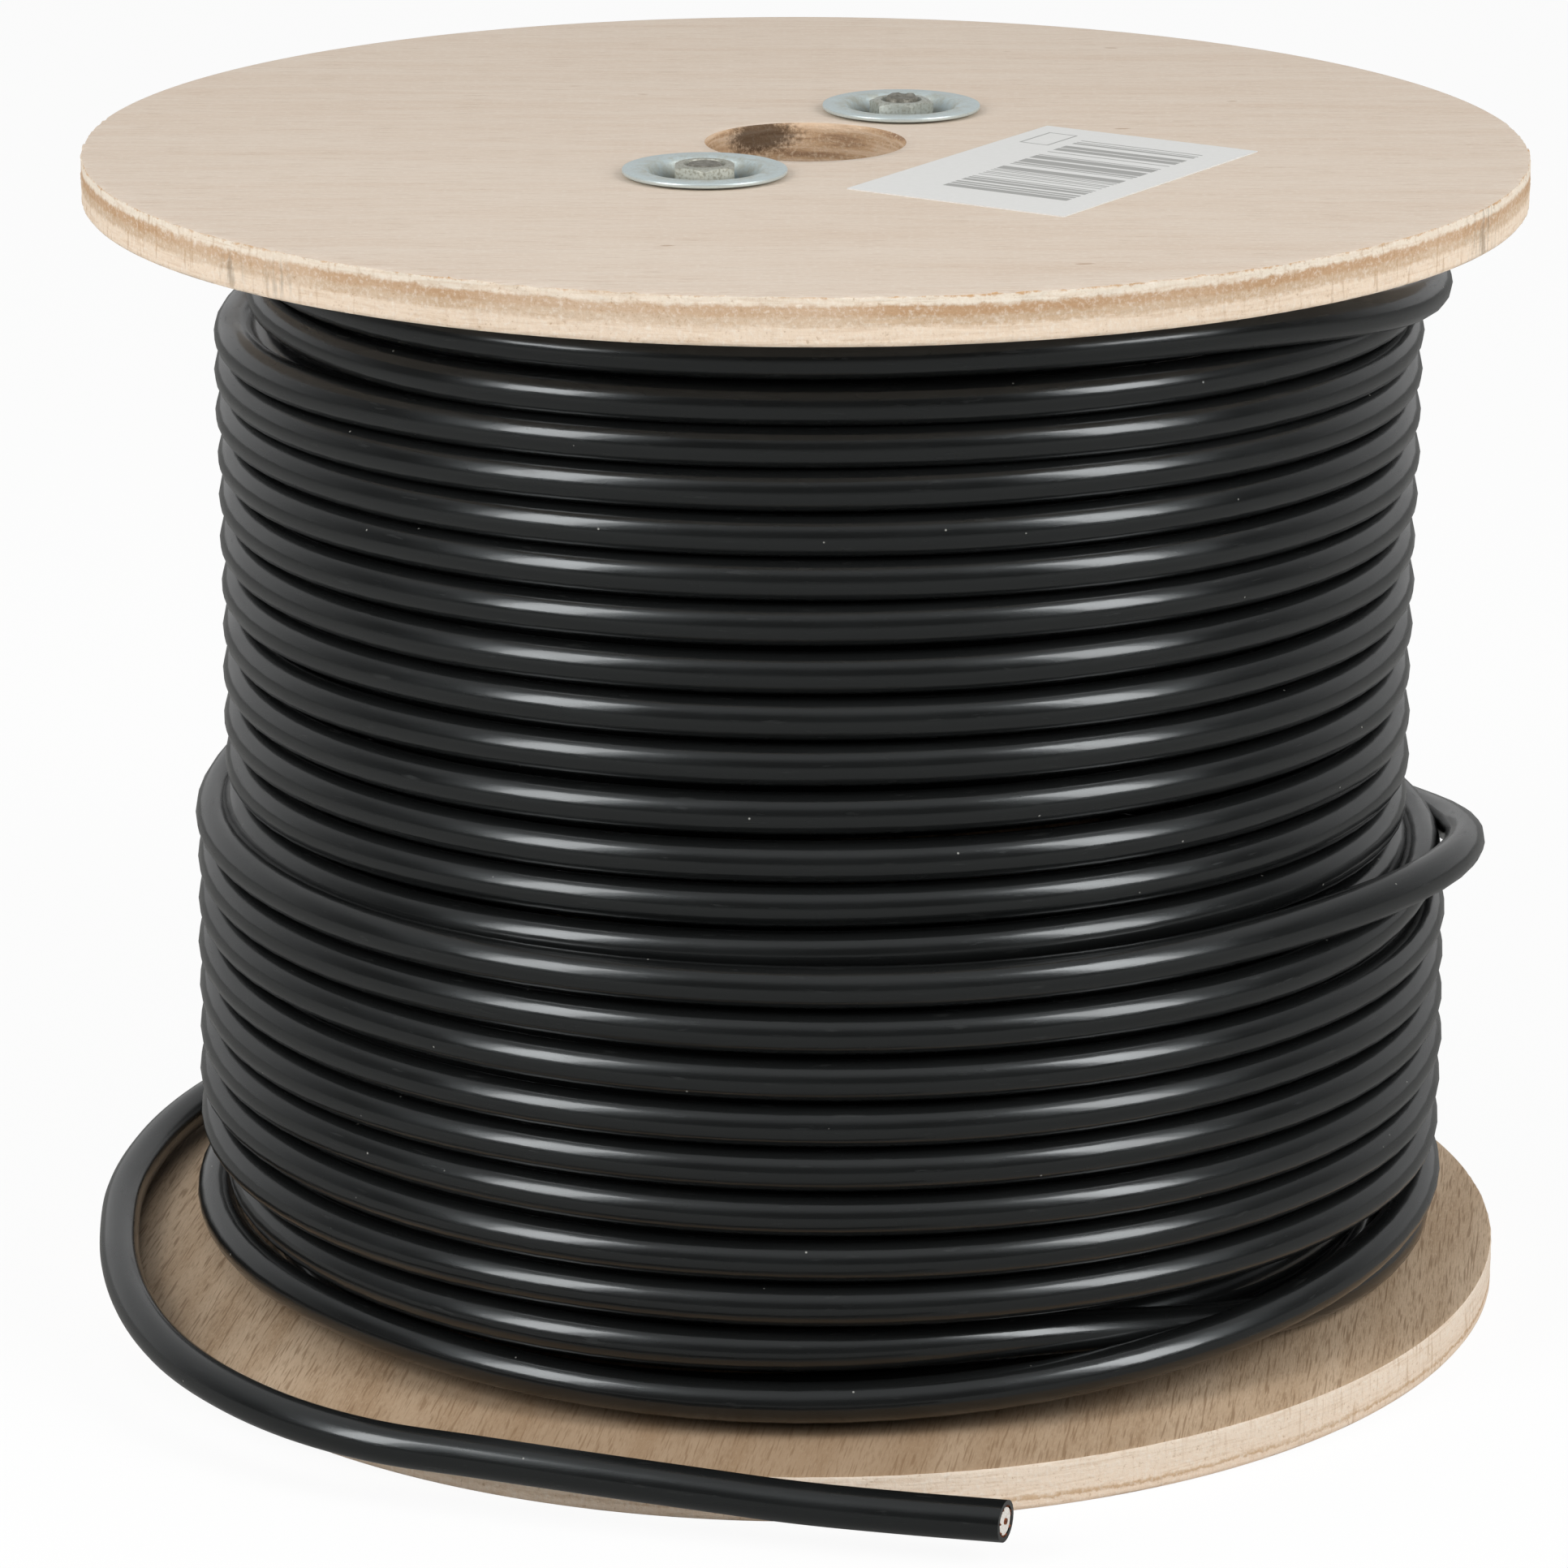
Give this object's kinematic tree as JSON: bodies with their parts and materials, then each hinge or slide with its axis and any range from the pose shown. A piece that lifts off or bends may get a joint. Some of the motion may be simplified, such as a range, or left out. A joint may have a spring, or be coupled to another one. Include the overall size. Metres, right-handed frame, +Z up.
{
  "type": "reel of coaxial cable",
  "caption": "Round plywood cable reel with a central arbor hole, bolted together by tie bolts in cup washers and wound with black coaxial cable whose cut end lies over the lower flange.",
  "frame": {"origin": "centre of the base, where the arbor's axis meets the surface that the lower flange stands on", "axes": "+Z up along the arbor's axis; +X to the right and +Y to the back as the picture sees the reel; the cut end of the cable lies in front, at -Y"},
  "size_m": [0.2513, 0.2699, 0.2076],
  "materials": {
    "upper_plywood": "sanded birch-faced plywood, bare",
    "lower_plywood": "sanded beech-faced plywood, bare",
    "tube_board": "spiral-wound board, bare",
    "zinc_washer": "pressed steel, blue zinc plate, stained",
    "zinc_bolt": "zinc-plated steel, dull and grainy",
    "label_paper": "white self-adhesive label",
    "cable_jacket": "black PVC, smooth and glossy with fine dust",
    "copper": "bare copper, cut",
    "dielectric_foam": "white foamed polyethylene, cut"
  },
  "bodies": {
    "root": {"bottom_flange": "lower_plywood", "top_flange": "upper_plywood", "core_tube": "tube_board", "tie_bolt_front": "zinc_bolt", "tie_bolt_back": "zinc_bolt", "nut_front": "zinc_bolt", "nut_back": "zinc_bolt", "top_washer_front": "zinc_washer", "top_washer_back": "zinc_washer", "bottom_washer_front": "zinc_washer", "bottom_washer_back": "zinc_washer", "label": "label_paper", "cable_winding": "cable_jacket", "cable_tail": "cable_jacket", "end_jacket": "cable_jacket", "end_braid": "copper", "end_dielectric": "dielectric_foam", "end_conductor": "copper"}
  },
  "joints": []
}
